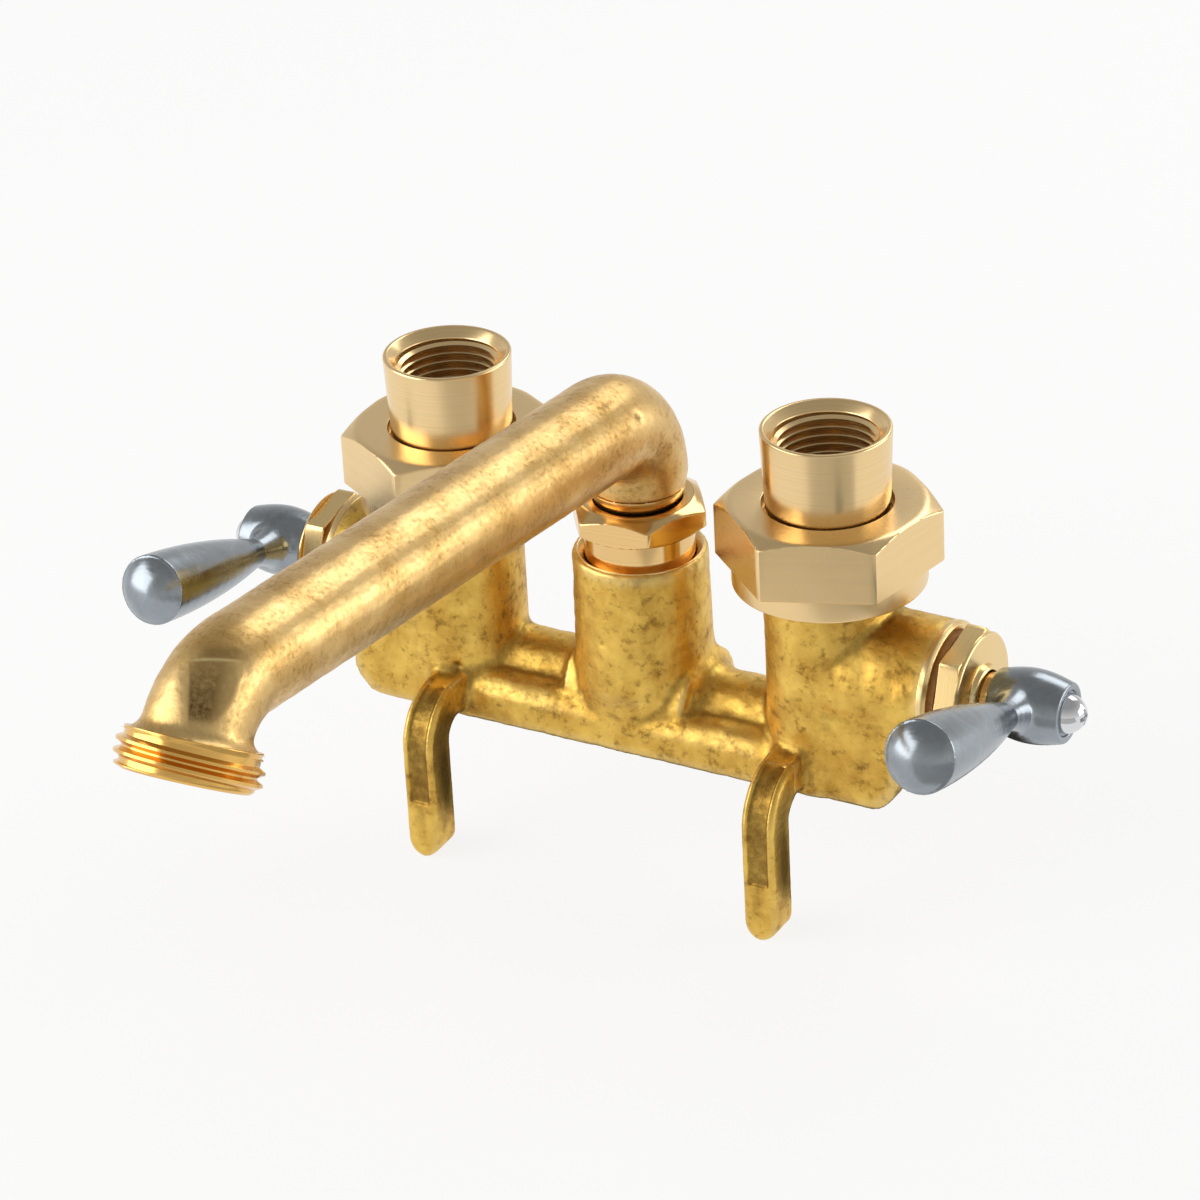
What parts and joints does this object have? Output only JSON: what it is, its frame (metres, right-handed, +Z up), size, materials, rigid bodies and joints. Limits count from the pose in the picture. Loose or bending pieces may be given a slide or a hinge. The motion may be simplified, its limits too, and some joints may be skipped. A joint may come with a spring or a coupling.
{
  "type": "utility sink faucet",
  "caption": "Rough brass laundry tub faucet with a swinging hose-thread spout, top union inlets, side lever valves and hooked legs that sit over the tub rim.",
  "frame": {"origin": "centre of the flat underside of the body, midway between the inlets, where it sits on the tub rim", "axes": "+Z up, -Y forward along the spout at rest, +X to the right seen from behind the spout's tip towards the body"},
  "size_m": [0.1958, 0.196, 0.1223],
  "materials": {
    "cast_brass": "rough sand-cast, mottled",
    "spout_brass": "satin, tumbled",
    "turned_brass": "satin, turned",
    "polished_brass": "polished",
    "zinc": "satin die-cast zinc",
    "chrome": "polished",
    "fibre": "matt vulcanised fibre",
    "nylon": "matt nylon",
    "rubber": "matt"
  },
  "bodies": {
    "faucet_body": {"body_casting": "cast_brass", "left_union_nut": "turned_brass", "right_union_nut": "turned_brass", "left_union_washer": "fibre", "right_union_washer": "fibre", "left_tailpiece": "turned_brass", "right_tailpiece": "turned_brass", "left_seat": "polished_brass", "right_seat": "polished_brass", "left_bonnet": "polished_brass", "right_bonnet": "polished_brass", "left_bonnet_gasket": "fibre", "right_bonnet_gasket": "fibre", "spout_nut": "polished_brass", "spout_friction_washer": "nylon"},
    "spout_arm": {"spout": "spout_brass", "spout_retaining_ring": "polished_brass", "spout_o_ring": "rubber"},
    "left_washer_holder": {"left_seat_washer": "rubber", "left_washer_screw": "polished_brass"},
    "left_lever": {"left_stem": "polished_brass", "left_stem_o_ring": "rubber", "left_handle": "zinc", "left_handle_screw": "chrome"},
    "right_washer_holder": {"right_seat_washer": "rubber", "right_washer_screw": "polished_brass"},
    "right_lever": {"right_stem": "polished_brass", "right_stem_o_ring": "rubber", "right_handle": "zinc", "right_handle_screw": "chrome"}
  },
  "joints": [
    {"name": "spout_swing", "type": "hinge", "parent": "faucet_body", "child": "spout_arm", "pos_m": [0, 0, 0.045], "axis": [0, 0, 1], "range_deg": [-54, 54]},
    {"name": "left_valve_lift", "type": "slide", "parent": "faucet_body", "child": "left_washer_holder", "axis": [-1, 0, 0], "range_m": [0, 0.00212]},
    {"name": "left_lever_turn", "type": "hinge", "parent": "left_washer_holder", "child": "left_lever", "pos_m": [-0.08, 0, 0.025], "axis": [-1, 0, 0], "range_deg": [0, 150]},
    {"name": "right_valve_lift", "type": "slide", "parent": "faucet_body", "child": "right_washer_holder", "axis": [1, 0, 0], "range_m": [0, 0.00212]},
    {"name": "right_lever_turn", "type": "hinge", "parent": "right_washer_holder", "child": "right_lever", "pos_m": [0.08, 0, 0.025], "axis": [-1, 0, 0], "range_deg": [0, 150]}
  ],
  "couplings": [
    {"joint": "left_lever_turn", "follows": "left_valve_lift", "rad_per_m": 1236.8},
    {"joint": "right_lever_turn", "follows": "right_valve_lift", "rad_per_m": 1236.8}
  ]
}
